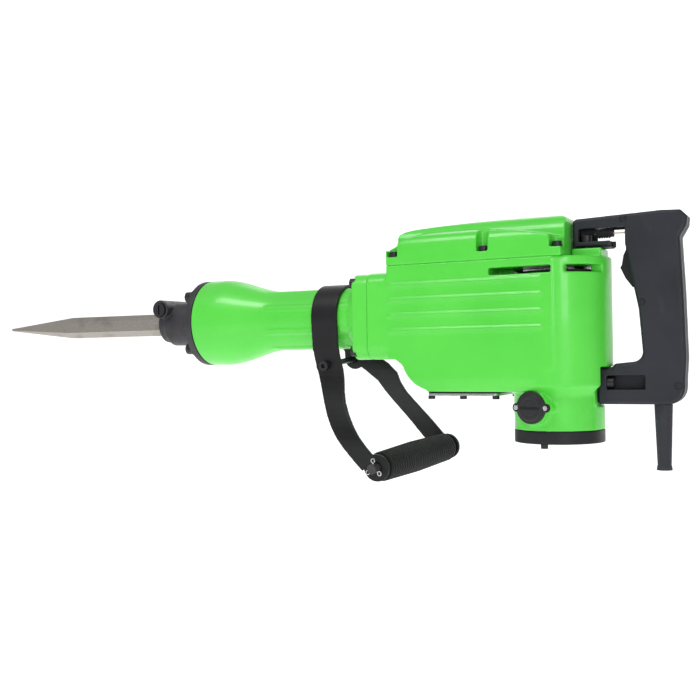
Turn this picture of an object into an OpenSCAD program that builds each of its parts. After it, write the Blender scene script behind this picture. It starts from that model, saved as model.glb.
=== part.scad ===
// Electric demolition hammer with a hexagonal point chisel.
// Millimetres. Origin at the mouth of the tool socket on the barrel axis, +X to the rear handle, +Z up.

/* [Tool] */
// across-flats size of the chisel shank
shank_af = 28.6; // [20:0.1:36]
// total length of the chisel
chisel_len = 410; // [300:1:500]
// length of the tapered point
point_len = 130; // [90:1:170]
// depth of the shank inside the hammer
shank_depth = 92; // [88:1:95]

/* [Nose] */
// radius of the round nose collar
nose_r = 32; // [29:0.5:36]
// radius of the flange joining nose and barrel
cap_flange_r = 62; // [58:0.5:70]
// radius of the tool retainer pin
retainer_r = 9.8; // [8:0.1:10.5]
// height of the retainer pin above the axis
retainer_z = 21; // [20:0.1:23]

/* [Barrel] */
// radius of the wide front of the barrel
bell_r = 62; // [58:0.5:70]
// radius of the slim neck
neck_r = 42; // [40:0.5:50]
// radius of the cylinder bore
cyl_bore_r = 29; // [24:0.5:31]
// outer radius of the cylinder sleeve
cyl_out_r = 34; // [32:0.5:36]
// length of the striker
striker_len = 80; // [60:1:84]

/* [Body] */
// half width of the crankcase
case_hw = 57; // [54:0.5:66]
// height of the joint plane under the gear cover
deck_z = 65; // [64:0.5:66]
// half width of the crankcase beside the motor
rear_hw = 67.5; // [66:0.5:74]
// top of the gear cover dome
dome_z = 118; // [116:0.5:126]
// radius of the upper motor housing
motor_r_up = 67; // [62:0.5:72]
// radius of the lower motor housing
motor_r_low = 56; // [53:0.5:61]
// bottom of the motor housing
motor_bot = -147; // [-155:0.5:-146]

/* [Drive] */
// crank throw
crank_throw = 24; // [18:0.5:26]
// connecting rod length between centres
rod_len = 112; // [104:0.5:114]
// module of the first gear pair
first_module = 1.5; // [1.5:0.01:1.53]
// module of the final gear pair
final_module = 2; // [1.95:0.01:2.02]

/* [Rear handle] */
// half thickness of the rear handle
handle_hw = 19; // [17:0.5:24]
// rearmost face of the handle
handle_x = 758; // [750:1:775]

/* [Side handle] */
// width of the strap band
strap_w = 38; // [30:0.5:46]
// thickness of the strap
strap_t = 5; // [4:0.1:7]
// radius of the rubber side grip
grip_r = 20.5; // [17:0.5:24]
// half length of the rubber side grip
grip_hl = 77; // [70:0.5:90]

/* [Hidden] */
run_fit = 0.04;
slide_fit = 0.03;
seat_fit = 0.06;
bolt_fit = 0.5;
free_gap = 0.4;
pressure = 25;

crank_x = 487.5;
mid_x = crank_x + final_module * (46 + 12) / 2;
motor_x = mid_x + first_module * (57 + 13) / 2;

retainer_x = 12;
collar_x = 10;
cap_x = 72;
cap_t = 10;
bell_x = cap_x + cap_t;
band_x = 289;
flange_x = 336;
case_x = 358;
block_x = 387;
chamber_x = 396;
wrist_x = crank_x - rod_len;

front_bolt_r = 53;
flange_bolt = 45;
bar_r = 6.5;
ear_y = 21;
cap_r = 20;
foot_bolt_y = 9.5;
arm_bolt_y = 11;
arm_bolt_z = -89;
pad_x = 649;
tail_screw_r = 51;
tail_screw_a = [-97, 65, 150];
grip_x = 392;
grip_z = -191;
grip_yaw = 12.4;
far_set = 38;
bar_roll = 5;
clamp_z = -60;
arm_in = (grip_hl + 0.6 + grip_r * tan(grip_yaw)) * cos(grip_yaw);
brush_z = -118;
brush_turn = 18;
foot_x = 622;
foot_z = 76;

// ---------- helpers ----------
module xcyl(x0, x1, r) {
  translate([x0, 0, 0])
    rotate([0, 90, 0])
      cylinder(h = x1 - x0, r = r, $fn = 48);
}

module ycyl(y0, y1, r) {
  translate([0, y1, 0])
    rotate([90, 0, 0])
      cylinder(h = y1 - y0, r = r, $fn = 48);
}

module zcyl(z0, z1, r) {
  translate([0, 0, z0])
    cylinder(h = z1 - z0, r = r, $fn = 48);
}

module ztube(z0, z1, r_out, r_in) {
  difference() {
    zcyl(z0, z1, r_out);
    zcyl(z0 - 1, z1 + 1, r_in);
  }
}

module xtube(x0, x1, r_out, r_in) {
  difference() {
    xcyl(x0, x1, r_out);
    xcyl(x0 - 1, x1 + 1, r_in);
  }
}

module xhex(x0, x1, af) {
  translate([x0, 0, 0])
    rotate([0, 90, 0])
      cylinder(h = x1 - x0, r = af / 2 / cos(30), $fn = 6);
}

// cap screw along +X: head in front of x0, shank behind it
module xscrew(x0, len, r, head_r, head_h) {
  difference() {
    union() {
      xcyl(x0 - head_h, x0, head_r);
      xcyl(x0, x0 + len, r);
    }
    xhex(x0 - head_h - 1, x0 - head_h * 0.4, head_r);
  }
}

// cap screw pointing down: head above z0, shank below it
module zscrew(z0, len, r, head_r, head_h) {
  difference() {
    union() {
      zcyl(z0, z0 + head_h, head_r);
      zcyl(z0 - len, z0, r);
    }
    translate([0, 0, z0 + head_h * 0.4])
      cylinder(h = head_h, r = head_r * 0.55, $fn = 6);
  }
}

// extrude a side profile (x, z) across the width
module side_plate(y0, y1) {
  translate([0, y1, 0])
    rotate([90, 0, 0])
      linear_extrude(height = y1 - y0)
        children();
}

// extrude a cross-section (y, z) along X
module section(x0, x1) {
  translate([x0, 0, 0])
    rotate([90, 0, 90])
      linear_extrude(height = x1 - x0)
        children();
}

module round_box(w, h, r) {
  translate([r - w / 2, -h / 2])
    square([w - 2 * r, h]);
  translate([-w / 2, r - h / 2])
    square([w, h - 2 * r]);
  for (sx = [-1, 1])
    for (sy = [-1, 1])
      translate([sx * (w / 2 - r), sy * (h / 2 - r)])
        circle(r = r, $fn = 32);
}

module mirror_y() {
  children();
  mirror([0, 1, 0])
    children();
}

// arc of points, degrees
function arc(cx, cz, r, a0, a1, n) =
  [for (i = [0:n]) [cx + r * cos(a0 + (a1 - a0) * i / n), cz + r * sin(a0 + (a1 - a0) * i / n)]];

// involute helpers
function inv_angle(rb, r) = sqrt(max(0, r * r / (rb * rb) - 1)) * 180 / PI - acos(min(1, rb / r));

// half the angle a tooth takes at radius r
function tooth_half(m, z, thin, r) =
  let (rp = m * z / 2, rb = rp * cos(pressure))
  90 / z - thin * 180 / PI / rp + inv_angle(rb, rp) - inv_angle(rb, r);

function tooth_flank(m, z, thin, a, side, r0, r1, n) =
  [for (i = [0:n])
    let (k = side < 0 ? i : n - i, r = r0 + (r1 - r0) * k / n, ang = a + side * tooth_half(m, z, thin, r))
    [r * cos(ang), r * sin(ang)]];

// outline of an involute gear with one tooth centred on the angle turn
module gear_shape(m, z, thin, turn) {
  rp = m * z / 2;
  tip = rp + m * 0.95;
  low = rp - m * 1.2;
  start = max(low, rp * cos(pressure));
  foot = tooth_half(m, z, thin, start) * 0.8 + 180 / z * 0.2;
  polygon([for (k = [0:z - 1])
    let (a = turn + 360 * k / z)
    each concat(
      [[low * cos(a - foot), low * sin(a - foot)]],
      tooth_flank(m, z, thin, a, -1, start, tip, 3),
      tooth_flank(m, z, thin, a, 1, start, tip, 3),
      [[low * cos(a + foot), low * sin(a + foot)]])]);
}

module bearing(z0, w, r_out, r_in) {
  t = (r_out - r_in) * 0.27;
  ztube(z0, z0 + w, r_out, r_out - t);
  ztube(z0, z0 + w, r_in + t, r_in);
  ztube(z0 + 0.6, z0 + w - 0.6, r_out - t - 0.1, r_in + t + 0.1);
}

// ---------- chisel ----------
module chisel() {
  back = shank_depth;
  tip = back - chisel_len;
  color([0.6, 0.58, 0.55])
    difference() {
      union() {
        xhex(tip + point_len, back - 3, shank_af);
        translate([back - 3, 0, 0])
          rotate([0, 90, 0])
            cylinder(h = 3, r1 = shank_af / 2 / cos(30), r2 = shank_af / 2, $fn = 6);
        translate([tip, 0, 0])
          rotate([0, 90, 0])
            cylinder(h = point_len, r1 = 2, r2 = shank_af / 2 / cos(30), $fn = 6);
      }
      translate([0.5, -25, retainer_z - retainer_r - 1.2])
        cube([63, 50, 30]);
    }
}

// ---------- nose ----------
module front_cap() {
  color([0.25, 0.25, 0.27])
    difference() {
      union() {
        xcyl(0, collar_x + 1, 27);
        translate([collar_x, 0, 0])
          rotate([0, 90, 0])
            cylinder(h = 4, r1 = nose_r - 3, r2 = nose_r, $fn = 48);
        xcyl(collar_x + 4, cap_x + 1, nose_r);
        translate([cap_x - 10, 0, 0])
          rotate([0, 90, 0])
            cylinder(h = 10, r1 = nose_r, r2 = nose_r + 9, $fn = 48);
        xcyl(cap_x, bell_x, cap_flange_r);
        xcyl(bell_x, 99.7, 44 - seat_fit);
        translate([retainer_x, 0, retainer_z + 1])
          ycyl(-39, 39, 13.5);
        for (a = [45:90:315])
          rotate([a, 0, 0])
            translate([0, front_bolt_r, 0])
              xcyl(cap_x - 2, cap_x + 1, 9);
      }
      xcyl(-1, 76, 22 + seat_fit);
      xcyl(75, 101, 19);
      translate([retainer_x, 0, retainer_z])
        ycyl(-40, 40, retainer_r + run_fit);
      for (a = [45:90:315])
        rotate([a, 0, 0])
          translate([0, front_bolt_r, 0])
            xcyl(cap_x - 5, bell_x + 1, 5 + bolt_fit);
    }
}

module tool_sleeve() {
  color([0.5, 0.5, 0.52])
    difference() {
      xcyl(0, 76, 22);
      xhex(-1, 77, shank_af + 0.3);
      translate([retainer_x, 0, retainer_z])
        ycyl(-40, 40, retainer_r + free_gap);
    }
}

module retainer_pin() {
  color([0.3, 0.3, 0.31])
    translate([retainer_x, 0, retainer_z])
      difference() {
        ycyl(-42, 42, retainer_r);
        translate([-15, -22, 6])
          cube([30, 44, 10]);
        difference() {
          ycyl(39.4, 40.8, 12);
          ycyl(39, 41, retainer_r - 1.2);
        }
        translate([-1.5, -43, -7])
          cube([3, 4, 14]);
      }
}

module retainer_ring() {
  color([0.6, 0.6, 0.62])
    translate([retainer_x, 0, retainer_z])
      difference() {
        ycyl(39.6, 40.6, retainer_r + 2);
        ycyl(39, 41, retainer_r - 1.1);
        translate([-2, 39, -20])
          cube([4, 2, 14]);
      }
}

module front_cap_bolts() {
  color([0.12, 0.12, 0.13])
    for (a = [45:90:315])
      rotate([a, 0, 0])
        translate([0, front_bolt_r, 0])
          xscrew(cap_x - 2, 32, 5, 8, 9);
}

// ---------- barrel ----------
module barrel_profile() {
  x1 = bell_x + 26;
  x2 = 205;
  polygon(concat(
    [[bell_x, 0], [bell_x, bell_r - 2], [bell_x + 2, bell_r]],
    [for (i = [0:16])
      let (t = i / 16, s = t * t * (3 - 2 * t))
      [x1 + (x2 - x1) * t, bell_r + (neck_r - bell_r) * s]],
    [[flange_x + 4, neck_r], [flange_x + 4, 0]]));
}

module barrel_housing() {
  color([0.37, 0.9, 0.32])
    difference() {
      union() {
        rotate([0, 90, 0])
          rotate_extrude($fn = 64)
            rotate(90)
              mirror([0, 1])
                barrel_profile();
        section(flange_x, case_x)
          round_box(2 * case_hw - 2, 2 * case_hw, 20);
        translate([flange_x - 16, 0, 0])
          rotate([0, 90, 0])
            cylinder(h = 17, r1 = neck_r - 0.5, r2 = neck_r + 9, $fn = 48);
        for (a = [22.5:45:337.5])
          rotate([a, 0, 0])
            translate([160, neck_r - 4, -4])
              cube([flange_x - 164, 5.6, 8]);
      }
      xcyl(bell_x - 1, 110, 44);
      xcyl(100, case_x + 1, cyl_out_r + seat_fit);
      for (a = [45:90:315])
        rotate([a, 0, 0])
          translate([0, front_bolt_r, 0])
            xcyl(bell_x - 1, 104, 5 + run_fit);
      for (sy = [-1, 1])
        for (sz = [-1, 1])
          translate([0, sy * flange_bolt, sz * flange_bolt]) {
            xcyl(flange_x - 20, case_x + 1, 4.5);
            xcyl(flange_x - 20, flange_x + 4, 8);
          }
      rotate([0, 90, 0])
        difference() {
          zcyl(band_x - strap_w / 2 - 1, band_x + strap_w / 2 + 1, neck_r + 12);
          zcyl(band_x - strap_w / 2 - 2, band_x + strap_w / 2 + 2, neck_r);
        }
    }
}

module barrel_flange_bolts() {
  color([0.12, 0.12, 0.13])
    for (sy = [-1, 1])
      for (sz = [-1, 1])
        translate([0, sy * flange_bolt, sz * flange_bolt])
          xscrew(flange_x + 4, 42, 4, 7, 9);
}

module cylinder_sleeve() {
  color([0.65, 0.65, 0.68])
    difference() {
      xcyl(162, 392, cyl_out_r);
      xcyl(161, 393, cyl_bore_r);
      for (a = [0:60:300])
        rotate([a, 0, 0])
          translate([226, 0, 0])
            zcyl(cyl_bore_r - 4, cyl_out_r + 2, 2);
    }
}

module hammer_holder() {
  color([0.5, 0.5, 0.52])
    difference() {
      union() {
        xcyl(100, 109.5, 43.8);
        xcyl(100, 160, cyl_out_r);
      }
      xcyl(99, 150, 22 + run_fit);
      xcyl(149, 161, 16 + run_fit);
    }
}

module impact_bolt() {
  color([0.7, 0.7, 0.72])
    union() {
      xcyl(94, 113, 17);
      xcyl(112.5, 136, 22);
      xcyl(136, 172, 16);
    }
}

module striker() {
  color([0.72, 0.72, 0.74])
    difference() {
      union() {
        xcyl(173, 183, 17);
        xcyl(183, 173 + striker_len, cyl_bore_r - run_fit);
      }
      for (x = [200, 232])
        xtube(x, x + 4, cyl_bore_r + 2, cyl_bore_r - 3);
    }
}

module striker_rings() {
  color([0.08, 0.08, 0.08])
    for (x = [200, 232])
      xtube(x + 0.3, x + 3.7, cyl_bore_r - 0.01, cyl_bore_r - 2.8);
}

// ---------- crank train ----------
module piston() {
  color([0.7, 0.71, 0.73])
    difference() {
      xcyl(wrist_x - 40, wrist_x + 18, cyl_bore_r - run_fit);
      xtube(wrist_x - 32, wrist_x - 28, cyl_bore_r + 2, cyl_bore_r - 3);
      xcyl(wrist_x - 22, wrist_x + 19, cyl_bore_r - 7);
      translate([wrist_x, 0, 0])
        zcyl(-40, 40, 7);
    }
}

module piston_ring() {
  color([0.08, 0.08, 0.08])
    xtube(wrist_x - 31.7, wrist_x - 28.3, cyl_bore_r - 0.01, cyl_bore_r - 2.8);
}

module wrist_pin() {
  color([0.75, 0.75, 0.77])
    translate([wrist_x, 0, 0])
      ztube(-26, 26, 7 - slide_fit, 3);
}

module conrod() {
  color([0.55, 0.55, 0.57])
    difference() {
      union() {
        translate([wrist_x, 0, 0])
          zcyl(-10, 10, 13);
        translate([crank_x, 0, 0])
          zcyl(-10, 10, 17);
        translate([wrist_x + 6, -7, -7])
          cube([rod_len - 14, 14, 14]);
      }
      translate([wrist_x, 0, 0])
        zcyl(-11, 11, 7 + run_fit);
      translate([crank_x, 0, 0])
        zcyl(-11, 11, 9);
      for (s = [-1, 1])
        translate([wrist_x + 24, s * 7 - 3.5, -8])
          cube([rod_len - 52, 7, 4]);
    }
}

module crank_pin() {
  color([0.7, 0.7, 0.72])
    translate([crank_x, 0, 0])
      union() {
        zcyl(-13, 13.4, 9 - run_fit);
        zcyl(-15, -12, 13);
      }
}

module crankshaft() {
  color([0.6, 0.6, 0.63])
    translate([crank_x, 0, 0])
      difference() {
        union() {
          zcyl(14, 30, 36);
          zcyl(29, 42, 17);
          zcyl(41, 62, 12.5 - run_fit);
          zcyl(61, 98.5, 11);
          zcyl(98, 109.5, 7.5 - run_fit);
        }
        for (a = [150, 210])
          rotate([0, 0, a])
            translate([24, 0, 0])
              zcyl(13, 31, 6);
      }
}

module final_gear() {
  color([0.58, 0.58, 0.6])
    translate([crank_x, 0, 0])
      difference() {
        union() {
          translate([0, 0, 84])
            linear_extrude(height = 14)
              gear_shape(final_module, 46, 0.08, 0);
          zcyl(80, 84.5, 20);
        }
        zcyl(79, 99, 11 + slide_fit);
        for (a = [30:60:330])
          rotate([0, 0, a])
            translate([31, 0, 0])
              zcyl(79, 99, 7);
      }
}

module crank_bearings() {
  color([0.75, 0.75, 0.78])
    translate([crank_x, 0, 0]) {
      bearing(42.2, 14.6, 26 - seat_fit, 12.5);
      bearing(99.2, 10.6, 17.5 - seat_fit, 7.5);
    }
}

module mid_shaft() {
  color([0.6, 0.6, 0.63])
    translate([mid_x, 0, 0])
      union() {
        zcyl(55.6, 66, 6 - run_fit);
        zcyl(65.6, 83.9, 9);
        translate([0, 0, 83.5])
          linear_extrude(height = 14.8)
            gear_shape(final_module, 12, 0.08, 195);
        zcyl(98, 108.4, 6 - run_fit);
      }
}

module first_gear() {
  color([0.58, 0.58, 0.6])
    translate([mid_x, 0, 0])
      difference() {
        translate([0, 0, 68])
          linear_extrude(height = 10)
            gear_shape(first_module, 57, 0.07, 180 / 57);
        zcyl(67, 79, 9 + slide_fit);
        for (a = [45:90:315])
          rotate([0, 0, a])
            translate([26, 0, 0])
              zcyl(67, 79, 9);
      }
}

module mid_bearings() {
  color([0.75, 0.75, 0.78])
    translate([mid_x, 0, 0]) {
      bearing(55.2, 9.6, 16 - seat_fit, 6);
      bearing(99.2, 9.4, 16 - seat_fit, 6);
    }
}

// ---------- housings ----------
module case_side() {
  polygon(concat(
    [[case_x, 0], [case_x, 58], [block_x - 3, 58], [block_x, 61], [block_x, deck_z],
     [motor_x + 30, deck_z], [motor_x + 30, -60]],
    arc(572, -79, 20, 0, -90, 8),
    [[440, -99]],
    arc(455, -50, 49, -108, -152, 8),
    [for (t = [0:6]) [411.5 - 14 * (t / 6), -73 + 16 * sqrt(t / 6)]],
    [[case_x + 5, -57], [case_x, -54]]));
}

// cross-section of the crank chamber block: square under the cover, round below
module case_section(hw) {
  r = 22;
  polygon(concat(
    [[-hw, deck_z + 1], [hw, deck_z + 1]],
    arc(hw - r, -105 + r, r, 0, -90, 6),
    arc(-hw + r, -105 + r, r, -90, -180, 6)));
}

rib_z = [39, 20, 0, -20];
case_end = 608;
flare = atan((rear_hw - case_hw) / (case_end - block_x));

// a section carried from the front half width to the rear one
module flared(x_end, hw_end) {
  hull() {
    section(block_x, block_x + 0.1)
      children(0);
    section(x_end - 0.1, x_end)
      children(1);
  }
}

module crankcase() {
  color([0.37, 0.9, 0.32])
    difference() {
      union() {
        intersection() {
          side_plate(-rear_hw - 5, rear_hw + 5)
            case_side();
          union() {
            flared(case_end, rear_hw) {
              case_section(case_hw);
              case_section(rear_hw);
            }
            section(case_end - 1, motor_x + 50)
              case_section(case_hw);
            section(case_x, block_x + 0.1)
              round_box(2 * case_hw, 116, 20);
          }
        }
        for (k = [-1, 1])
          for (z = rib_z)
            translate([block_x + 3, k * (case_hw - 0.7), z])
              rotate([0, 0, k * flare])
                xcyl(0, case_end - block_x - 16, 3.2);
        translate([motor_x, 0, 0]) {
          zcyl(-92, deck_z, motor_r_up);
          translate([0, 0, -104])
            cylinder(h = 12.01, r1 = motor_r_low, r2 = motor_r_up, $fn = 48);
          zcyl(motor_bot, -103, motor_r_low);
        }
        translate([motor_x + 30, -26, -117])
          cube([pad_x - motor_x - 30, 52, 50]);
        translate([foot_x, -22, deck_z - 10])
          cube([36, 44, foot_z - deck_z + 10]);
        for (s = [0, 1])
          translate([motor_x, 0, brush_z])
            rotate([0, 0, brush_turn - 90 + 180 * s - 2 * brush_turn])
              {
              xcyl(40, motor_r_low + 5, cap_r + 1.5);
              for (t = [-1, 1])
                translate([0, t * ear_y, 0])
                  xcyl(40, motor_r_low + 5, 6);
            }
      }
      // crank chamber, open at the bottom
      translate([chamber_x, -44, -44])
        cube([540 - chamber_x, 88, 86]);
      translate([450, -44, -88])
        cube([90, 88, 60]);
      translate([450, -38, -100])
        cube([72, 76, 20]);
      xcyl(case_x - 1, chamber_x + 1, cyl_out_r + seat_fit);
      // seat of the handle's lower arm
      translate([pad_x, -30, -118])
        cube([40, 60, 48.5]);
      // motor chamber
      translate([motor_x, 0, 0]) {
        zcyl(-67, 54, 53);
        zcyl(motor_bot - 1, -66, 46.5);
        zcyl(53, deck_z + 1, 12);
        zcyl(54, deck_z + 1, 17.5);
      }
      translate([crank_x, 0, 0]) {
        zcyl(41, 57, 26);
        zcyl(41, deck_z + 1, 20);
      }
      translate([mid_x, 0, 0])
        zcyl(55, deck_z + 1, 16);
      // air slots
      for (s = [-1, 1]) {
        translate([528, s * 49.5 - 29.5, 45.5])
          cube([79, 59, 9]);
        translate([622, s * 50 - 26, 45.5])
          cube([38, 52, 9]);
      }
      // screw holes
      for (sy = [-1, 1])
        for (sz = [-1, 1])
          translate([0, sy * flange_bolt, sz * flange_bolt])
            xcyl(case_x - 1, 384, 4 + run_fit);
      for (p = cover_bolts)
        translate([p[0], p[1], 0])
          zcyl(55, deck_z + 1, 3 + run_fit);
      for (p = bottom_bolts)
        translate([p[0], p[1], 0])
          zcyl(-100, -90, 2.5 + run_fit);
      for (s = [0, 1])
        translate([motor_x, 0, brush_z])
          rotate([0, 0, brush_turn - 90 + 180 * s - 2 * brush_turn]) {
            xcyl(30, 70, 12);
            xcyl(motor_r_low + 5, 70, cap_r + 0.6);
            for (t = [-1, 1])
              translate([0, t * ear_y, 0])
                xcyl(52, 70, 1.5 + run_fit);
          }
      for (y = [-foot_bolt_y, foot_bolt_y])
        translate([foot_x + 16, y, 0])
          zcyl(59, foot_z + 1, 4 + run_fit);
      for (y = [-arm_bolt_y, arm_bolt_y])
        translate([0, y, arm_bolt_z])
          xcyl(pad_x - 5.5, pad_x + 5, 4 + run_fit);
      for (a = tail_screw_a)
        translate([motor_x, 0, 0])
          rotate([0, 0, a])
            translate([tail_screw_r, 0, 0])
              zcyl(motor_bot - 1, motor_bot + 12, 2.5 + run_fit);
    }
}

cover_bolts = [[396, -50], [396, 50], [520, -55], [520, 55], [613, -57], [613, 57]];
bottom_bolts = [[443, -43], [443, 43], [486, -43], [486, 43], [529, -43], [529, 43]];
plate_x = 486;

cover_end = 620;

// side profile of the cover's shoulder
module shoulder_side() {
  polygon([[block_x, deck_z], [block_x, 84], [block_x + 3, 88], [399, 93], [412, 98], [435, 103.5],
    [463, 106], [500, 105.5], [540, 101.5], [583, 96], [612, 90.5], [cover_end, 88], [cover_end, deck_z]]);
}

// side profile of the dome on the shoulder
module dome_side() {
  d = dome_z;
  polygon([[block_x + 12, deck_z], [block_x + 12, d - 17], [block_x + 14, d - 12.5], [block_x + 20, d - 9],
    [block_x + 32, d - 6.5], [450, d - 4], [490, d - 1.8], [530, d - 0.4], [570, d], [604, d - 0.4],
    [616, d - 1.6], [cover_end - 0.5, d - 5], [cover_end - 0.5, deck_z]]);
}

module dome_section() {
  polygon(concat([[-47, 50], [-47, 84]],
    [for (i = [0:8]) let (a = 180 - 11.25 * i) [-22 + 24 * cos(a), 90 + 28.5 * sin(a)]],
    [for (i = [0:8]) let (a = 90 - 11.25 * i) [22 + 24 * cos(a), 90 + 28.5 * sin(a)]],
    [[47, 84], [47, 50]]));
}

module shoulder_section(hw) {
  polygon([[-hw, 50], [-hw, 86], [-hw + 1.5, 92.5], [-hw + 4, 97.5], [-hw + 8, 101.5], [-hw + 14, 104.5],
    [-30, 108], [30, 108], [hw - 14, 104.5], [hw - 8, 101.5], [hw - 4, 97.5], [hw - 1.5, 92.5],
    [hw, 86], [hw, 50]]);
}

module gear_cover() {
  color([0.37, 0.9, 0.32])
    difference() {
      union() {
        intersection() {
          side_plate(-rear_hw - 5, rear_hw + 5)
            shoulder_side();
          flared(cover_end, rear_hw + (cover_end - case_end) * tan(flare)) {
            shoulder_section(case_hw);
            shoulder_section(rear_hw + (cover_end - case_end) * tan(flare));
          }
        }
        intersection() {
          side_plate(-case_hw, case_hw)
            dome_side();
          section(block_x - 1, 640)
            dome_section();
        }
      }
      // room for the gears
      translate([crank_x, 0, 0])
        zcyl(deck_z - 1, 99, final_module * 24 + 1.5);
      translate([mid_x, 0, 0])
        zcyl(deck_z - 1, 99, first_module * 29.5 + 1.7);
      translate([mid_x, -17, deck_z - 1])
        cube([motor_x + 15 - mid_x, 34, 100 - deck_z]);
      translate([crank_x, 0, 0])
        zcyl(98, 110, 17.5);
      translate([mid_x, 0, 0])
        zcyl(98, 109, 16);
      for (p = cover_bolts)
        translate([p[0], p[1], 0]) {
          zcyl(deck_z - 1, 79, 3.5);
          zcyl(76, 125, 7.4);
          translate([-7.4, p[1] > 0 ? 0 : -30, 76])
            cube([14.8, 30, 50]);
        }
    }
}

module gear_cover_bolts() {
  color([0.12, 0.12, 0.13])
    for (p = cover_bolts)
      translate([p[0], p[1], 0])
        zscrew(76, 20, 3, 5.5, 7);
}

module bottom_gasket() {
  color([0.1, 0.1, 0.1])
    difference() {
      translate([plate_x, 0, -101])
        linear_extrude(height = 1.7)
          round_box(96, 96, 8);
      translate([450, -36, -102])
        cube([72, 72, 5]);
      for (p = bottom_bolts)
        translate([p[0], p[1], 0])
          zcyl(-103, -98, 2.8);
    }
}

module bottom_cover() {
  color([0.72, 0.73, 0.74])
    difference() {
      union() {
        translate([plate_x, 0, -104.3])
          linear_extrude(height = 3)
            round_box(96, 96, 8);
        translate([plate_x, 0, -102])
          linear_extrude(height = 5)
            round_box(68, 68, 6);
      }
      for (p = bottom_bolts)
        translate([p[0], p[1], 0])
          zcyl(-106, -98, 2.8);
    }
}

module bottom_cover_bolts() {
  color([0.12, 0.12, 0.13])
    for (p = bottom_bolts)
      translate([p[0], p[1], 0])
        rotate([180, 0, 0])
          zscrew(104.6, 13, 2.5, 4.5, 4);
}

// ---------- motor ----------
module stator() {
  color([0.5, 0.5, 0.53])
    translate([motor_x, 0, 0])
      difference() {
        zcyl(-56, -6, 52.9);
        zcyl(-58, -5, 31);
        for (s = [-1, 1])
          for (t = [-1, 1])
            translate([s * 36 - 8, t * 20 - 8, -58])
              cube([16, 16, 53]);
      }
}

module stator_coils() {
  color([0.7, 0.38, 0.18])
    translate([motor_x, 0, 0])
      for (s = [-1, 1]) {
        for (t = [-1, 1])
          translate([s * 36 - 7.7, t * 20 - 7.7, -64])
            cube([15.4, 15.4, 66]);
        for (z = [-66.7, -5.5])
          translate([s * 36 - 7.7, -27.7, z])
            cube([15.4, 55.4, 10.5]);
      }
}

module armature_shaft() {
  color([0.65, 0.65, 0.67])
    translate([motor_x, 0, 0])
      union() {
        zcyl(-146, -136, 5 - run_fit);
        zcyl(-136.5, 54, 7);
        zcyl(53.5, 66, 7.5 - run_fit);
        translate([0, 0, 65.9])
          linear_extrude(height = 13)
            gear_shape(first_module, 13, 0.07, 180);
      }
}

module armature_core() {
  color([0.45, 0.45, 0.48])
    translate([motor_x, 0, 0])
      difference() {
        union() {
          zcyl(-55.8, -7, 30);
          zcyl(-74, 6, 24);
        }
        zcyl(-90, 10, 7 + slide_fit);
        for (a = [0:30:330])
          rotate([0, 0, a])
            translate([26, -1.5, -62])
              cube([6, 3, 56]);
      }
}

module commutator() {
  color([0.72, 0.45, 0.25])
    translate([motor_x, 0, 0])
      difference() {
        union() {
          zcyl(-128, -106, 19);
          zcyl(-106.5, -101, 22);
        }
        zcyl(-130, -100, 7 + slide_fit);
        for (a = [0:15:345])
          rotate([0, 0, a])
            translate([18, -0.4, -129])
              cube([3, 0.8, 22]);
      }
}

module cooling_fan() {
  color([0.12, 0.12, 0.13])
    translate([motor_x, 0, 0])
      difference() {
        union() {
          zcyl(46.5, 50, 50);
          zcyl(26, 51, 13);
          for (a = [0:30:330])
            rotate([0, 0, a])
              translate([24, -1.2, 28])
                cube([24.5, 2.4, 19]);
        }
        zcyl(20, 52, 7 + slide_fit);
      }
}

module fan_guide() {
  color([0.15, 0.15, 0.16])
    translate([motor_x, 0, 0])
      union() {
        ztube(20, 23, 52.9, 36);
        ztube(8, 20.5, 52.9, 50);
      }
}

module motor_bearings() {
  color([0.75, 0.75, 0.78])
    translate([motor_x, 0, 0]) {
      bearing(54.2, 10.6, 17.5 - seat_fit, 7.5);
      bearing(-145.8, 9, 15 - seat_fit, 5);
    }
}

module at_brush() {
  for (s = [0, 1])
    translate([motor_x, 0, brush_z])
      rotate([0, 0, brush_turn - 90 + 180 * s - 2 * brush_turn])
        children();
}

module brush_holders() {
  color([0.2, 0.2, 0.2])
    at_brush()
      difference() {
        xcyl(24, 55, 11.8);
        translate([20, -4.2, -8.2])
          cube([40, 8.4, 16.4]);
      }
}

module carbon_brushes() {
  color([0.2, 0.2, 0.21])
    at_brush()
      translate([19.6, -4, -8])
        cube([18, 8, 16]);
}

module brush_springs() {
  color([0.7, 0.7, 0.7])
    at_brush()
      for (i = [0:4])
        xtube(38.2 + i * 3.2, 39.6 + i * 3.2, 3.6, 2.4);
}

module brush_caps() {
  face = motor_r_low + 5.05;
  color([0.22, 0.22, 0.24])
    at_brush()
      difference() {
        union() {
          xcyl(55.3, face + 1, 11.8);
          xcyl(face, face + 4.5, cap_r);
          translate([face, 0, 0])
            rotate([0, 90, 0])
              cylinder(h = 6.5, r1 = cap_r - 2, r2 = cap_r - 4.5, $fn = 48);
          for (t = [-1, 1])
            translate([0, t * ear_y, 0])
              xcyl(face, face + 3.5, 5.5);
        }
        for (t = [-1, 1])
          translate([0, t * ear_y, 0]) {
            xcyl(face - 1, face + 10, 1.9);
            xcyl(face + 2, face + 10, 3.6);
          }
        translate([face + 4.4, -cap_r + 6, -1.6])
          cube([5, 2 * cap_r - 12, 3.2]);
        difference() {
          xcyl(face + 5.8, face + 8, 11);
          xcyl(face + 5, face + 9, 9.6);
        }
      }
}

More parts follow.
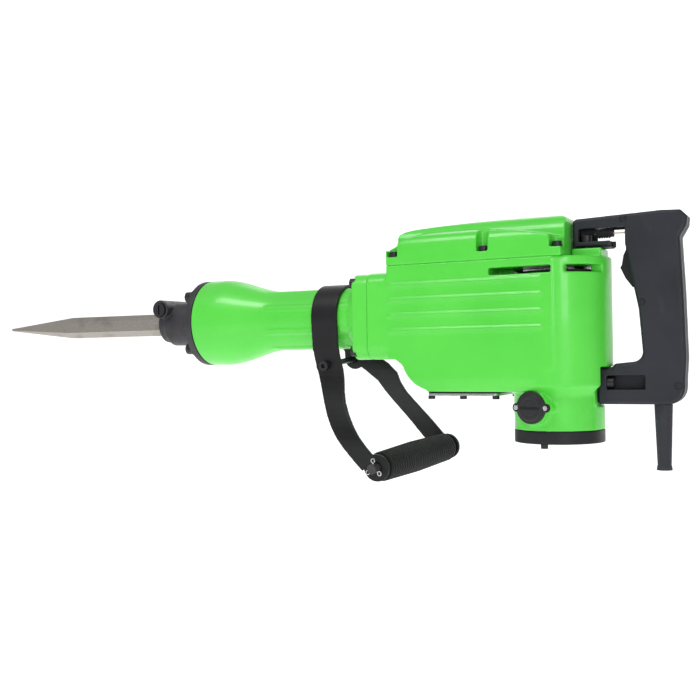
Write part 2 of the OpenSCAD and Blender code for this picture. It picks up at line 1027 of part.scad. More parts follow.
module brush_cap_screws() {
  face = motor_r_low + 7.1;
  color([0.6, 0.6, 0.62])
    at_brush()
      for (t = [-1, 1])
        translate([0, t * ear_y, 0])
          difference() {
            union() {
              xcyl(face, face + 2.3, 3);
              xcyl(53, face + 0.4, 1.5);
            }
            translate([face + 1.5, -2.6, -0.4])
              cube([2, 5.2, 0.8]);
            translate([face + 1.5, -0.4, -2.6])
              cube([2, 0.8, 5.2]);
          }
}

module tail_cover() {
  color([0.2, 0.2, 0.22])
    translate([motor_x, 0, 0])
      difference() {
        union() {
          zcyl(motor_bot - 16, motor_bot - 0.3, motor_r_low);
          ztube(motor_bot - 1, motor_bot + 12, 20, 15);
          ztube(motor_bot - 1, motor_bot + 6, 46, 42);
        }
        ztube(motor_bot - 12, motor_bot + 1, 40, 22);
        zcyl(motor_bot + 1, motor_bot + 20, 15);
        for (a = [0:20:340])
          rotate([0, 0, a])
            translate([28, -2, motor_bot - 17])
              cube([13, 4, 6]);
        for (a = tail_screw_a)
          rotate([0, 0, a])
            translate([tail_screw_r, 0, 0])
              zcyl(motor_bot - 18, motor_bot + 10, 2.8);
      }
}

module tail_cover_screws() {
  color([0.12, 0.12, 0.13])
    translate([motor_x, 0, 0])
      for (a = tail_screw_a)
        rotate([0, 0, a])
          translate([tail_screw_r, 0, 0])
            rotate([180, 0, 0])
              zscrew(-motor_bot + 16.2, 26, 2.5, 4.4, 5);
}

// ---------- rear handle ----------
module handle_outline() {
  hx = handle_x;
  polygon(concat(
      [[foot_x, foot_z + 0.3], [foot_x, 110], [foot_x + 4, 113]],
      [[hx - 30, 117], [hx - 8, 116], [hx, 108], [hx - 1, 98], [hx - 9, 84]],
      [[hx - 6, 20], [hx - 4, -60], [hx - 6, -88]],
      arc(hx - 26, -95.5, 20, 0, -90, 5),
      [[pad_x + 3, -115.5], [pad_x + 0.3, -113], [pad_x + 0.3, -70.5], [motor_x + 69, -70.2]],
      [[motor_x + 73, -66]],
      arc(hx - 66, -52, 12, -90, 0, 5),
      [[hx - 58, 0], [hx - 66, 40], [hx - 70, 62]],
      [[hx - 74, foot_z + 0.3]]));
}

module handle_hollow() {
  hx = handle_x;
  polygon([[hx - 108, 102], [hx - 20, 108], [hx - 9, 100], [hx - 15, 82], [hx - 12, 20], [hx - 10, -60],
    [hx - 12, -86], [hx - 28, -104], [hx - 40, -104], [hx - 40, -76], [hx - 44, -66], [hx - 46, -50],
    [hx - 48, 0], [hx - 57, 40], [hx - 62, 84], [hx - 108, 84]]);
}

handle_screw_at = [[684, 109], [745, -93], [704, 8]];

module handle_shell(s) {
  difference() {
    intersection() {
      union() {
        side_plate(s > 0 ? 0.05 : -handle_hw + 5, s > 0 ? handle_hw - 5 : -0.05)
          handle_outline();
        side_plate(s > 0 ? 0.05 : -handle_hw, s > 0 ? handle_hw : -0.05)
          offset(delta = -2.5)
            handle_outline();
      }
      translate([500, -60, -200])
        cube([400, 120, 400]);
    }
    side_plate(-handle_hw + 4, handle_hw - 4)
      handle_hollow();
    // trigger mouth
    translate([handle_x - 86, -9, 18])
      cube([34, 18, 66]);
    // cord guard seat
    translate([handle_x - 33, 0, 0]) {
      zcyl(-118, -100, 7.6);
      zcyl(-104.2, -97.5, 11.3);
    }
    // foot bolts and lower bolts
    for (y = [-foot_bolt_y, foot_bolt_y])
      translate([foot_x + 16, y, 0])
        zcyl(60, 90, 4.5);
    for (y = [-arm_bolt_y, arm_bolt_y])
      translate([0, y, arm_bolt_z])
        xcyl(pad_x - 5, pad_x + 20, 4.5);
    for (y = [-34, 4])
      translate([pad_x + 12, y, arm_bolt_z - 8.5])
        cube([46, 30, 17]);
    for (p = handle_screw_at)
      translate([p[0], 0, p[1]])
        ycyl(-30, 30, 2.1);
    for (p = handle_screw_at)
      translate([p[0], 0, p[1]])
        ycyl(-30, -handle_hw + 3, 4);
    // trigger pivot
    translate([handle_x - 60, 0, 80])
      ycyl(-17, 17, 2 + seat_fit);
    // side windows over the foot bolts and leads
    for (y = [-30, 2]) {
      translate([foot_x + 8, y, 84])
        cube([56, 28, 16]);
      translate([foot_x + 46, y, 70])
        cube([18, 28, 20]);
    }
  }
}

module handle_left() {
  color([0.21, 0.22, 0.25])
    handle_shell(-1);
}

module handle_right() {
  color([0.21, 0.22, 0.25])
    handle_shell(1);
}

module handle_screws() {
  color([0.12, 0.12, 0.13])
    for (p = handle_screw_at)
      translate([p[0], 0, p[1]])
        difference() {
          union() {
            ycyl(-handle_hw + 0.6, -handle_hw + 2.9, 3.6);
            ycyl(-handle_hw + 2.5, handle_hw - 3, 1.9);
          }
          translate([-2.4, -handle_hw, -0.5])
            cube([4.8, 1.6, 1]);
        }
}

module handle_bolts() {
  color([0.12, 0.12, 0.13])
    union() {
      for (y = [-foot_bolt_y, foot_bolt_y])
        translate([foot_x + 16, y, 0])
          zscrew(84.2, 23.5, 4, 6.8, 8);
      for (y = [-arm_bolt_y, arm_bolt_y])
        translate([pad_x + 12.2, y, arm_bolt_z])
          rotate([0, 90, 0])
            zscrew(0, 16.5, 4, 6.8, 8);
    }
}

module switch_body() {
  color([0.1, 0.1, 0.11])
    union() {
      translate([handle_x - 41, -13, 24])
        cube([26, 26, 48]);
      translate([handle_x - 44, -5, 34])
        cube([8, 10, 12]);
    }
}

module trigger() {
  hx = handle_x;
  color([0.12, 0.12, 0.13])
    union() {
      side_plate(-8, 8)
        polygon([[hx - 65, 86], [hx - 55, 86], [hx - 54, 60], [hx - 52, 24], [hx - 60, 24],
          [hx - 66, 27], [hx - 74, 38], [hx - 80, 51], [hx - 78, 54], [hx - 76, 66], [hx - 71, 76]]);
      translate([hx - 60, 0, 80])
        ycyl(-16.8, 16.8, 2);
    }
}

module wire_sleeve() {
  color([0.08, 0.08, 0.08])
    translate([0, -12, 93])
      difference() {
        union() {
          xcyl(650, 672, 4.4);
          for (i = [0:5])
            xcyl(651 + i * 3, 652.4 + i * 3, 5.6);
        }
        xcyl(649, 673, 2.2);
      }
}

module motor_leads() {
  color([0.8, 0.78, 0.7])
    for (t = [-1, 1])
      translate([0, -12 + t * 1.05, 93])
        xcyl(649, 700, 0.95);
}

module cord_guard() {
  color([0.1, 0.1, 0.11])
    translate([handle_x - 33, 0, 0])
      difference() {
        union() {
          zcyl(-117, -102, 7.5);
          zcyl(-103.5, -98, 11);
          translate([0, 0, -190])
            cylinder(h = 74.2, r1 = 8.2, r2 = 10.8, $fn = 48);
          translate([0, 0, -195])
            cylinder(h = 6, r1 = 9.4, r2 = 8.4, $fn = 48);
        }
        zcyl(-200, -90, 4.75);
      }
}

// ---------- side handle ----------
arm_heights = [for (i = [0:11]) -30 - 14 * i];

function ramp(t) = let (u = min(1, max(0, t))) u * u * (3 - 2 * u);
function arm_slope(z) = 0.05 + 0.0058 * (-30 - z);

// what the rear edge of an arm gives up below the clamp screw
function arm_trim(z) = 0.22 * strap_w * ramp((-66 - z) / 50);

// centre line of an arm seen from the side; the far arm is set back
function arm_x(z, set) =
  let (d = -30 - z)
  band_x + 0.05 * d + 0.0029 * d * d + set * ramp((-42 - z) / 46);

// a point beside the centre line, k = -1 front edge, k = 1 rear edge
function arm_edge(z, set, k) =
  let (m = arm_slope(z))
  let (w = k * strap_w / 2 * (1 + (z + 30) / 1500) - (k > 0 ? arm_trim(z) : 0))
  let (h = w / sqrt(1 + m * m))
  [arm_x(z, set) + h, z + h * m];

module arm_outline(set, end_x) {
  polygon(concat(
    [for (z = arm_heights) arm_edge(z, set, -1)],
    [for (i = [0:11]) arm_edge(arm_heights[11 - i], set, 1)]));
  translate([end_x, grip_z])
    circle(r = strap_w / 2 - 1, $fn = 48);
}

// inner face of an arm: straight past the clamp screw, then splayed out to the grip end
function arm_y(z) = neck_r + 0.3 + (arm_in - neck_r - 0.3) * ramp((-68 - z) / 96);

module arm_section() {
  heights = [for (i = [0:12]) -68 - 8 * i];
  polygon(concat(
    [[arm_y(0), 10]],
    [for (z = heights) [arm_y(z), z]],
    [[arm_y(-300), -230], [arm_y(-300) + strap_t, -230]],
    [for (i = [0:12]) let (z = heights[12 - i]) [arm_y(z) + strap_t, z + 1.2]],
    [[arm_y(0) + strap_t, 10]]));
}

module at_bar() {
  translate([grip_x, 0, grip_z])
    rotate([0, 0, -grip_yaw])
      children();
}

module side_strap() {
  color([0.17, 0.17, 0.19])
    rotate([bar_roll, 0, 0])
      difference() {
        union() {
          difference() {
            xtube(band_x - strap_w / 2, band_x + strap_w / 2, neck_r + 0.3 + strap_t, neck_r + 0.3);
            translate([0, -100, -200])
              cube([500, 200, 196]);
          }
          for (k = [-1, 1])
            scale([1, k, 1])
              intersection() {
                side_plate(-120, 120)
                  union() {
                    arm_outline(k > 0 ? far_set : 0, grip_x + k * (arm_in + strap_t / 2) * tan(grip_yaw));
                    translate([band_x - strap_w / 2, -40])
                      square([strap_w, 38]);
                    translate([band_x, clamp_z])
                      circle(r = strap_w / 2 - 4, $fn = 48);
                    translate([band_x - strap_w / 2 + 4, clamp_z])
                      square([strap_w - 8, 30]);
                  }
                section(200, 500)
                  arm_section();
              }
        }
        translate([band_x, 0, clamp_z])
          ycyl(-80, 80, 4 + bolt_fit);
        at_bar()
          ycyl(-120, 120, bar_r + bolt_fit);
      }
}

module strap_bolt() {
  face = neck_r + strap_t + 0.5;
  color([0.12, 0.12, 0.13])
    rotate([bar_roll, 0, 0])
      translate([band_x, 0, clamp_z])
        difference() {
          union() {
            ycyl(-face - 8, -face, 6.5);
            ycyl(-face - 1, face + 8, 4);
          }
          translate([0, -face - 4, 0])
            rotate([90, 0, 0])
              cylinder(h = 8, r = 3.5, $fn = 6);
        }
}

module strap_nut() {
  color([0.3, 0.3, 0.31])
    rotate([bar_roll, 0, 0])
      translate([band_x, neck_r + strap_t + 7.3, clamp_z])
        rotate([90, 0, 0])
          difference() {
            cylinder(h = 6.6, r = 7.5, $fn = 6);
            zcyl(-1, 8, 4 + slide_fit);
          }
}

module side_grip() {
  color([0.1, 0.1, 0.1])
    rotate([bar_roll, 0, 0])
      at_bar()
        difference() {
          union() {
            for (s = [-1, 1])
              scale([1, s, 1])
                rotate([-90, 0, 0])
                  cylinder(h = grip_hl, r1 = grip_r, r2 = grip_r - 1.8, $fn = 48);
            for (i = [-14:14])
              translate([0, i * (grip_hl - 3.6) / 14, 0])
                ycyl(-1.4, 1.4, grip_r + 0.5 - abs(i) * 0.11);
          }
          ycyl(-grip_hl - 1, grip_hl + 1, bar_r + 0.1);
        }
}

bar_end_y = (arm_in + strap_t) / cos(grip_yaw) + (bar_r + 7) * tan(grip_yaw) + 7;

module at_split_pin() {
  pin_y = bar_end_y - 4.5;
  at_bar()
    for (y = [-pin_y, pin_y])
      for (a = [90, 210, 330])
        translate([0, y, 0])
          rotate([0, -a, 0])
            children();
}

module grip_bar() {
  color([0.3, 0.3, 0.31])
    rotate([bar_roll, 0, 0])
      difference() {
        at_bar()
          ycyl(-bar_end_y, bar_end_y, bar_r);
        at_split_pin()
          xcyl(2, bar_r + 2, 1.3);
      }
}

module split_pins() {
  color([0.75, 0.75, 0.77])
    rotate([bar_roll, 0, 0])
      at_split_pin()
        union() {
          xcyl(2.4, bar_r + 2, 1.1);
          translate([bar_r + 4.2, 0, 0])
            rotate([90, 0, 0])
              rotate_extrude($fn = 32)
                translate([2.7, 0])
                  circle(r = 0.8, $fn = 16);
        }
}

chisel();
front_cap();
tool_sleeve();
retainer_pin();
retainer_ring();
front_cap_bolts();
barrel_housing();
barrel_flange_bolts();
cylinder_sleeve();
hammer_holder();
impact_bolt();
striker();
striker_rings();
piston();
piston_ring();
wrist_pin();
conrod();
crank_pin();
crankshaft();
final_gear();
crank_bearings();
mid_shaft();
first_gear();
mid_bearings();
crankcase();
gear_cover();
gear_cover_bolts();
bottom_gasket();
bottom_cover();
bottom_cover_bolts();
stator();
stator_coils();
armature_shaft();
armature_core();
commutator();
cooling_fan();
fan_guide();
motor_bearings();
brush_holders();
carbon_brushes();
brush_springs();
brush_caps();
brush_cap_screws();
tail_cover();
tail_cover_screws();
handle_left();
handle_right();
handle_screws();
handle_bolts();
switch_body();
trigger();
wire_sleeve();
motor_leads();
cord_guard();
side_strap();
strap_bolt();
strap_nut();
side_grip();
grip_bar();
split_pins();
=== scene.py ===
"""Looks of the demolition hammer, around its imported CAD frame. Metres, +X to the rear handle, +Z up."""

import math

import bmesh
import bpy
from mathutils import Matrix, Vector

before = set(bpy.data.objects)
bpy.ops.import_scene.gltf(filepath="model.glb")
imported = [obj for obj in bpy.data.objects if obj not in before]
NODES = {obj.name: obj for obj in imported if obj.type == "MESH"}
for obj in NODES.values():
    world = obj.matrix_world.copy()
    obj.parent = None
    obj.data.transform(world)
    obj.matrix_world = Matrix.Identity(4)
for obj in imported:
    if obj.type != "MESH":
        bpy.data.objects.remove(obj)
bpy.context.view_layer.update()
BEVEL_SAMPLES = 6
WELD_GAP = 0.00002

# ---------------------------------------------------------------- node helpers


class Net:
    """A material's node tree with short calls."""

    def __init__(self, name):
        self.mat = bpy.data.materials.new(name)
        self.mat.use_nodes = True
        self.tree = self.mat.node_tree
        self.tree.nodes.clear()
        self.out = self.tree.nodes.new("ShaderNodeOutputMaterial")
        self.bsdf = self.tree.nodes.new("ShaderNodeBsdfPrincipled")
        self.tree.links.new(self.bsdf.outputs[0], self.out.inputs[0])
        coord = self.tree.nodes.new("ShaderNodeTexCoord")
        self.pos = coord.outputs["Object"]

    def link(self, a, b):
        self.tree.links.new(a, b)

    def put(self, socket, value):
        if isinstance(value, bpy.types.NodeSocket):
            self.link(value, socket)
        else:
            socket.default_value = value

    def mapping(self, scale):
        n = self.tree.nodes.new("ShaderNodeMapping")
        self.link(self.pos, n.inputs["Vector"])
        n.inputs["Scale"].default_value = scale
        return n.outputs[0]

    def noise(self, scale, detail=4.0, rough=0.55, vector=None):
        n = self.tree.nodes.new("ShaderNodeTexNoise")
        self.link(vector or self.pos, n.inputs["Vector"])
        n.inputs["Scale"].default_value = scale
        n.inputs["Detail"].default_value = detail
        n.inputs["Roughness"].default_value = rough
        return n.outputs["Fac"]

    def voronoi(self, scale, feature="F1"):
        n = self.tree.nodes.new("ShaderNodeTexVoronoi")
        n.feature = feature
        self.link(self.pos, n.inputs["Vector"])
        n.inputs["Scale"].default_value = scale
        return n.outputs["Distance"]

    def wave(self, scale, direction, distortion):
        n = self.tree.nodes.new("ShaderNodeTexWave")
        n.bands_direction = direction
        self.link(self.pos, n.inputs["Vector"])
        n.inputs["Scale"].default_value = scale
        n.inputs["Distortion"].default_value = distortion
        return n.outputs["Fac"]

    def math(self, op, a, b):
        n = self.tree.nodes.new("ShaderNodeMath")
        n.operation = op
        for i, v in enumerate((a, b)):
            self.put(n.inputs[i], v)
        return n.outputs[0]

    def remap(self, value, lo, hi, out_lo, out_hi):
        n = self.tree.nodes.new("ShaderNodeMapRange")
        self.put(n.inputs["Value"], value)
        n.inputs["From Min"].default_value = lo
        n.inputs["From Max"].default_value = hi
        n.inputs["To Min"].default_value = out_lo
        n.inputs["To Max"].default_value = out_hi
        return n.outputs[0]

    def mix(self, fac, a, b):
        n = self.tree.nodes.new("ShaderNodeMix")
        n.data_type = "RGBA"
        self.put(n.inputs[0], fac)
        for i, v in ((6, a), (7, b)):
            if not isinstance(v, bpy.types.NodeSocket):
                v = (*v, 1.0)
            self.put(n.inputs[i], v)
        return n.outputs[2]

    def rounded_normal(self, radius):
        n = self.tree.nodes.new("ShaderNodeBevel")
        n.samples = BEVEL_SAMPLES
        n.inputs["Radius"].default_value = radius
        return n.outputs[0]

    def edges(self, radius):
        """1 on sharp edges, 0 elsewhere, from how far the rounded normal leans from the true one."""
        geo = self.tree.nodes.new("ShaderNodeNewGeometry")
        dot = self.tree.nodes.new("ShaderNodeVectorMath")
        dot.operation = "DOT_PRODUCT"
        self.link(self.rounded_normal(radius), dot.inputs[0])
        self.link(geo.outputs["Normal"], dot.inputs[1])
        return self.remap(dot.outputs["Value"], 0.99, 0.80, 0.0, 1.0)

    def bump(self, height, strength, distance, rounded=0.0):
        n = self.tree.nodes.new("ShaderNodeBump")
        self.put(n.inputs["Height"], height)
        n.inputs["Strength"].default_value = strength
        n.inputs["Distance"].default_value = distance
        if rounded:
            self.link(self.rounded_normal(rounded), n.inputs["Normal"])
        return n.outputs[0]

    def set(self, **values):
        names = {
            "color": "Base Color",
            "rough": "Roughness",
            "metal": "Metallic",
            "normal": "Normal",
            "coat": "Coat Weight",
            "coat_rough": "Coat Roughness",
            "ior": "IOR",
            "spec": "Specular IOR Level",
            "sheen": "Sheen Weight",
        }
        for k, v in values.items():
            if k == "color" and not isinstance(v, bpy.types.NodeSocket):
                v = (*v, 1.0)
            self.put(self.bsdf.inputs[names[k]], v)
        return self.mat


def srgb(r, g, b):
    """Linear colour from 0-255 display values."""
    out = []
    for v in (r, g, b):
        v = v / 255
        out.append(v / 12.92 if v <= 0.04045 else ((v + 0.055) / 1.055) ** 2.4)
    return tuple(out)


# ---------------------------------------------------------------- materials


def green_paint():
    n = Net("green_paint")
    broad = n.noise(9, 3)
    fine = n.noise(240, 3, 0.6)
    peel = n.noise(620, 2, 0.5)
    base = n.mix(n.remap(broad, 0.3, 0.7, 0, 1), srgb(80, 209, 62), srgb(92, 219, 73))
    base = n.mix(n.remap(fine, 0.35, 0.75, 0, 0.10), base, srgb(66, 196, 52))
    # Edges are painted a pale green highlight, standing in for light glinting on the rounded edges of
    # clean paint.
    edge_highlight = n.edges(0.0016)
    base = n.mix(n.math("MULTIPLY", edge_highlight, 0.25), base, srgb(140, 246, 124))
    speck = n.voronoi(520)
    patches = n.remap(n.noise(35, 2), 0.62, 0.7, 0, 0.5)
    dirt = n.math("MULTIPLY", n.remap(speck, 0.05, 0.02, 0, 1), patches)
    base = n.mix(dirt, base, srgb(46, 120, 40))
    rough = n.remap(n.noise(60, 4), 0.3, 0.7, 0.28, 0.4)
    normal = n.bump(n.math("ADD", n.math("MULTIPLY", peel, 0.6), fine), 0.12, 0.0005, rounded=0.0022)
    return n.set(color=base, rough=rough, normal=normal, coat=0.22, coat_rough=0.1, ior=1.45)


def worn_steel_with_edge_highlight(name, dark, light, stretch, rough_lo=0.28, rough_hi=0.5):
    n = Net(name)
    grain = n.noise(90, 5, 0.6, vector=n.mapping(stretch))
    blotch = n.noise(22, 4, 0.6)
    base = n.mix(n.remap(grain, 0.3, 0.7, 0, 1), dark, light)
    base = n.mix(n.remap(blotch, 0.52, 0.72, 0, 0.55), base, tuple(v * 0.55 for v in dark))
    # Edges are lightened toward a pale steel: partly rubbed wear, partly a painted edge highlight.
    edge_highlight = n.edges(0.0008)
    base = n.mix(n.math("MULTIPLY", edge_highlight, 0.6), base, tuple(min(1, v * 1.5) for v in light))
    rough = n.remap(grain, 0.2, 0.8, rough_lo, rough_hi)
    normal = n.bump(grain, 0.25, 0.0004, rounded=0.0006)
    return n.set(color=base, rough=rough, normal=normal, metal=1.0)


def black_oxide(name, tone, rough=0.42, coat=0.0, edge_highlight_gain=0.35, spec=0.4):
    n = Net(name)
    fine = n.noise(320, 4, 0.6)
    base = n.mix(n.remap(n.noise(40, 3), 0.3, 0.7, 0, 1), tone, tuple(v * 1.45 for v in tone))
    # Edges are lightened toward a pale grey, scaled by the gain argument: a painted edge highlight.
    edge_highlight = n.edges(0.0009)
    base = n.mix(n.math("MULTIPLY", edge_highlight, edge_highlight_gain), base, tuple(v * 3.2 + 0.02 for v in tone))
    r = n.remap(fine, 0.3, 0.7, rough - 0.07, rough + 0.09)
    normal = n.bump(fine, 0.2, 0.0003, rounded=0.0007)
    return n.set(color=base, rough=r, normal=normal, coat=coat, spec=spec)


def cast_dark():
    n = Net("cast_dark")
    grain = n.noise(260, 4, 0.65)
    pits = n.voronoi(330)
    base = n.mix(n.remap(n.noise(30, 4), 0.3, 0.7, 0, 1), srgb(44, 43, 48), srgb(66, 64, 70))
    # Edges are lightened toward a pale grey: a painted edge highlight.
    edge_highlight = n.edges(0.0014)
    base = n.mix(n.math("MULTIPLY", edge_highlight, 0.5), base, srgb(120, 118, 124))
    height = n.math("ADD", grain, n.math("MULTIPLY", pits, 0.6))
    normal = n.bump(height, 0.35, 0.0007, rounded=0.0014)
    rough = n.remap(grain, 0.3, 0.7, 0.38, 0.58)
    return n.set(color=base, rough=rough, normal=normal, metal=0.35)


def moulded_plastic(name, a, b, rough=0.5, grain_scale=900, strength=0.16, radius=0.0012):
    n = Net(name)
    leather = n.voronoi(grain_scale, feature="SMOOTH_F1")
    fine = n.noise(grain_scale * 1.7, 3, 0.6)
    base = n.mix(n.remap(n.noise(14, 3), 0.3, 0.7, 0, 1), a, b)
    scuff = n.noise(60, 5, 0.7, vector=n.mapping((1, 1, 0.25)))
    base = n.mix(n.remap(scuff, 0.6, 0.78, 0, 0.22), base, tuple(min(1, v * 2.2 + 0.01) for v in b))
    # Edges are lightened toward a pale grey: a painted edge highlight, apart from the random scuffs
    # above.
    edge_highlight = n.edges(radius)
    base = n.mix(n.math("MULTIPLY", edge_highlight, 0.3), base, tuple(min(1, v * 2.4 + 0.01) for v in b))
    r = n.remap(n.noise(45, 3), 0.3, 0.7, rough - 0.06, rough + 0.08)
    height = n.math("ADD", leather, n.math("MULTIPLY", fine, 0.4))
    normal = n.bump(height, strength, 0.0004, rounded=radius)
    return n.set(color=base, rough=r, normal=normal, spec=0.3)


def rubber(name, tone, strength=0.3):
    n = Net(name)
    fine = n.noise(1400, 3, 0.7)
    dust = n.noise(55, 4, 0.6)
    base = n.mix(n.remap(dust, 0.45, 0.75, 0, 0.5), tone, tuple(v * 2.0 + 0.004 for v in tone))
    normal = n.bump(fine, strength, 0.0003, rounded=0.0006)
    rough = n.remap(dust, 0.3, 0.7, 0.62, 0.78)
    return n.set(color=base, rough=rough, normal=normal, sheen=0.03, spec=0.3)


def copper():
    n = Net("copper_wire")
    turns = n.wave(420, "Z", 0.6)
    # The dark and light bands across the wire turns are painted shade in the gaps and painted highlight
    # on the round crests.
    base = n.mix(turns, srgb(96, 48, 26), srgb(196, 120, 72))
    return n.set(color=base, rough=0.35, metal=0.9, normal=n.bump(turns, 0.5, 0.0006))


def lamination():
    n = Net("lamination")
    sheets = n.wave(600, "Z", 0.1)
    base = n.mix(sheets, srgb(84, 84, 90), srgb(140, 140, 146))
    return n.set(color=base, rough=0.45, metal=0.9, normal=n.bump(sheets, 0.4, 0.0003))


def lead_cover():
    n = Net("lead_insulation")
    base = n.mix(n.noise(200, 2), srgb(196, 190, 160), srgb(222, 216, 190))
    return n.set(color=base, rough=0.4, normal=n.bump(n.noise(900, 2), 0.1, 0.0002))


GREEN = green_paint()
CHISEL = worn_steel_with_edge_highlight("tool_steel", srgb(132, 126, 118), srgb(192, 187, 179), (3, 60, 60), 0.34, 0.55)
MACHINED = worn_steel_with_edge_highlight("machined_steel", srgb(140, 140, 145), srgb(190, 190, 195), (30, 30, 4), 0.2, 0.34)
BRIGHT = worn_steel_with_edge_highlight("bright_steel", srgb(170, 170, 174), srgb(224, 224, 228), (20, 20, 20), 0.16, 0.3)
BEARING = worn_steel_with_edge_highlight("bearing_steel", srgb(165, 165, 170), srgb(215, 215, 220), (8, 8, 40), 0.14, 0.26)
PLATE = worn_steel_with_edge_highlight("plate_alloy", srgb(148, 150, 152), srgb(188, 190, 192), (4, 40, 4), 0.3, 0.45)
SCREW = black_oxide("black_screw", srgb(30, 30, 33), 0.36)
STRAP = black_oxide("strap_enamel", srgb(22, 22, 24), 0.4, coat=0.04, edge_highlight_gain=0.25, spec=0.25)
BAR = black_oxide("bar_steel", srgb(52, 50, 50), 0.38, edge_highlight_gain=0.6)
CAST = cast_dark()
HANDLE = moulded_plastic("handle_plastic", srgb(36, 37, 43), srgb(44, 46, 53), 0.48)
BLACK = moulded_plastic("black_plastic", srgb(25, 26, 28), srgb(33, 34, 37), 0.45, 700, 0.12)
TRIGGER = moulded_plastic("trigger_plastic", srgb(24, 24, 27), srgb(32, 33, 36), 0.38, 1200, 0.08, 0.001)
RUBBER = rubber("grip_rubber", srgb(22, 22, 25))
GUARD = rubber("guard_rubber", srgb(46, 48, 53), 0.2)
CAP = moulded_plastic("cap_plastic", srgb(36, 36, 38), srgb(46, 46, 48), 0.42, 600, 0.12)
SEAL = rubber("seal_rubber", srgb(20, 20, 22), 0.2)
COPPER = copper()
LAMINATION = lamination()
CARBON = rubber("carbon_block", srgb(40, 40, 44), 0.15)
LEADS = lead_cover()

LOOKS = {
    GREEN: "barrel_housing crankcase gear_cover",
    CHISEL: "chisel",
    CAST: "front_cap",
    MACHINED: "tool_sleeve cylinder_sleeve hammer_holder impact_bolt striker piston wrist_pin conrod"
    " crank_pin crankshaft final_gear mid_shaft first_gear armature_shaft",
    BEARING: "crank_bearings mid_bearings motor_bearings",
    BRIGHT: "retainer_ring brush_cap_screws split_pins brush_springs",
    SCREW: "retainer_pin front_cap_bolts barrel_flange_bolts gear_cover_bolts bottom_cover_bolts"
    " tail_cover_screws handle_bolts handle_screws strap_bolt strap_nut",
    BAR: "grip_bar",
    STRAP: "side_strap",
    SEAL: "striker_rings piston_ring bottom_gasket",
    RUBBER: "side_grip wire_sleeve",
    GUARD: "cord_guard",
    PLATE: "bottom_cover",
    LAMINATION: "stator armature_core",
    COPPER: "stator_coils commutator",
    CARBON: "carbon_brushes",
    BLACK: "cooling_fan fan_guide brush_holders tail_cover switch_body",
    CAP: "brush_caps",
    TRIGGER: "trigger",
    HANDLE: "handle_left handle_right",
    LEADS: "motor_leads",
}
for material, names in LOOKS.items():
    for name in names.split():
        mesh = NODES[name].data
        mesh.materials.clear()
        mesh.materials.append(material)

# ---------------------------------------------------------------- rounded castings and mouldings


def soften(name, voxel, rounds):
    """The rounded edges and blended corners of a casting or a moulding, as modifiers on a CAD node."""
    obj = NODES[name]
    weld = obj.modifiers.new("weld", "WELD")
    weld.merge_threshold = WELD_GAP
    remesh = obj.modifiers.new("remesh", "REMESH")
    remesh.mode = "VOXEL"
    remesh.voxel_size = voxel
    remesh.use_smooth_shade = True
    smooth = obj.modifiers.new("smooth", "SMOOTH")
    smooth.factor = 0.5
    smooth.iterations = rounds


for name, voxel, rounds in (
    ("crankcase", 0.0013, 5),
    ("gear_cover", 0.0011, 6),
    ("barrel_housing", 0.0012, 5),
    ("front_cap", 0.0008, 4),
    ("handle_left", 0.0008, 5),
    ("handle_right", 0.0008, 5),
    ("side_strap", 0.0009, 2),
    ("brush_caps", 0.0006, 2),
    ("tail_cover", 0.0009, 3),
):
    soften(name, voxel, rounds)

# ---------------------------------------------------------------- stage

FLOOR_Z = -0.45
FLOOR_GLOW = 0.5
WORLD_GLOW = 0.5


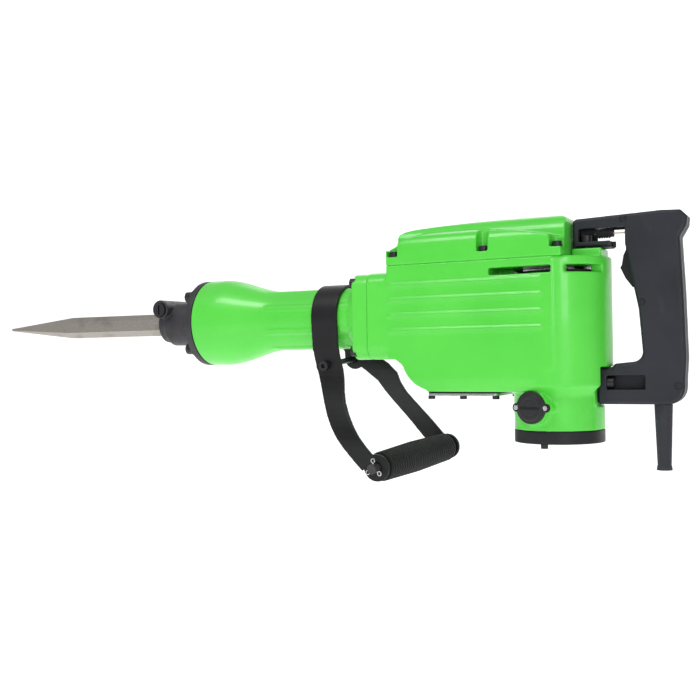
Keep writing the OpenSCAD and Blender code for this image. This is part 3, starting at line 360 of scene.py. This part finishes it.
def stage_floor():
    bm = bmesh.new()
    length, depth, height, bend = 6.0, 3.2, 3.2, 1.0
    profile = [(-6.0, 0.0), (depth - bend, 0.0)]
    for i in range(1, 13):
        a = math.pi / 2 * i / 12
        profile.append((depth - bend + bend * math.sin(a), bend - bend * math.cos(a)))
    profile.append((depth, height))
    rows = []
    for y, z in profile:
        rows.append([bm.verts.new((x, y, FLOOR_Z + z)) for x in (-length, length)])
    for a, b in zip(rows, rows[1:]):
        bm.faces.new((a[0], a[1], b[1], b[0]))
    mesh = bpy.data.meshes.new("floor")
    bm.to_mesh(mesh)
    bm.free()
    for p in mesh.polygons:
        p.use_smooth = True
    obj = bpy.data.objects.new("floor", mesh)
    bpy.context.scene.collection.objects.link(obj)
    n = Net("floor_paper")
    base = n.mix(n.noise(3, 2), (0.86, 0.86, 0.86), (0.9, 0.9, 0.9))
    n.bsdf.inputs["Emission Color"].default_value = (1, 1, 1, 1)
    n.bsdf.inputs["Emission Strength"].default_value = FLOOR_GLOW
    mesh.materials.append(n.set(color=base, rough=0.9, spec=0.1))


def area_light(name, place, aim, size, power, tint=(1, 1, 1)):
    data = bpy.data.lights.new(name, "AREA")
    data.shape = "RECTANGLE"
    data.size, data.size_y = size
    data.energy = power
    data.color = tint
    obj = bpy.data.objects.new(name, data)
    obj.location = place
    obj.rotation_euler = (Vector(aim) - Vector(place)).to_track_quat("-Z", "Y").to_euler()
    bpy.context.scene.collection.objects.link(obj)


stage_floor()
world = bpy.data.worlds.new("studio")
world.use_nodes = True
world.node_tree.nodes["Background"].inputs[0].default_value = (1, 1, 1, 1)
world.node_tree.nodes["Background"].inputs[1].default_value = WORLD_GLOW
bpy.context.scene.world = world
area_light("key", (0.0, -1.2, 1.9), (0.25, 0, 0), (1.2, 0.6), 20)
area_light("fill", (1.6, -1.8, 0.3), (0.4, 0, 0), (0.5, 0.5), 6)
area_light("back", (0.4, 1.4, 1.4), (0.4, 0, 0), (2.0, 1.0), 9)

# ---------------------------------------------------------------- camera

CAM_AT = Vector((0.91516, -1.24917, -0.04795))
CAM_RIGHT = Vector((0.89854, 0.43856, -0.01695))
CAM_DOWN = Vector((-0.01667, -0.00449, -0.99985))
CAM_FORWARD = Vector((-0.43857, 0.89869, 0.00327))
FOCAL_PX = 1000
IMAGE_PX = 700
SENSOR = 36.0

cam = bpy.data.cameras.new("camera")
cam.sensor_width = SENSOR
cam.lens = SENSOR * FOCAL_PX / IMAGE_PX
camera = bpy.data.objects.new("camera", cam)
axes = Matrix((CAM_RIGHT, -CAM_DOWN, -CAM_FORWARD)).transposed().to_4x4()
camera.matrix_world = Matrix.Translation(CAM_AT) @ axes
bpy.context.scene.collection.objects.link(camera)
bpy.context.scene.camera = camera
bpy.context.scene.view_settings.view_transform = "Standard"
